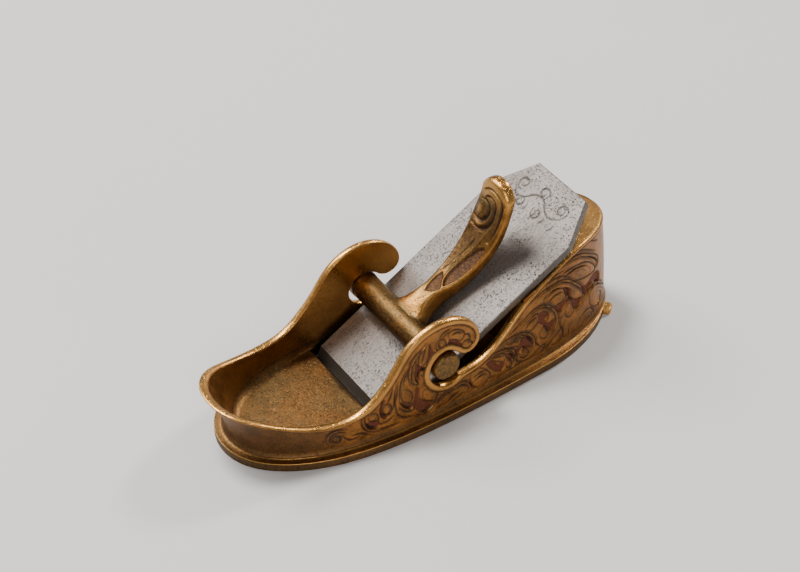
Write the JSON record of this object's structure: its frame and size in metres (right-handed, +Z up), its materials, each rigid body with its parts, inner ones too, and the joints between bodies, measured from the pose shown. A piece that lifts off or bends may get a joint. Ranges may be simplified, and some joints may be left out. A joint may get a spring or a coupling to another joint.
{
  "type": "slipper-pattern miniature hand plane",
  "caption": "Miniature slipper-shaped smoothing plane: an open cast-bronze boat with scrolled, engraved sides holds a steel cutter under a trunnion-mounted lever cap",
  "frame": {"origin": "on the sole plane, under the middle of the overall length and width", "axes": "+X from toe to heel along the sole, +Y to the plane's far side, +Z up away from the sole"},
  "size_m": [0.0798, 0.0304, 0.033],
  "materials": {
    "bronze_casting": "aged, satin with bright worn edges",
    "cutter_steel": "ground, lightly pitted",
    "lever_bronze": "patinated bar, polished paddle"
  },
  "bodies": {
    "body": {"body_casting": "bronze_casting"},
    "iron": {"cutter": "cutter_steel"},
    "cap": {"lever_cap": "lever_bronze"}
  },
  "joints": [
    {"name": "lever_cap_hinge", "type": "hinge", "parent": "body", "child": "cap", "pos_m": [-0.0023, 0, 0.0109], "axis": [0, -1, 0], "range_deg": [0, 100]},
    {"name": "cutter_slide", "type": "slide", "parent": "body", "child": "iron", "axis": [0.8625, 0, 0.506], "range_m": [-0.0003, 0.025]}
  ]
}
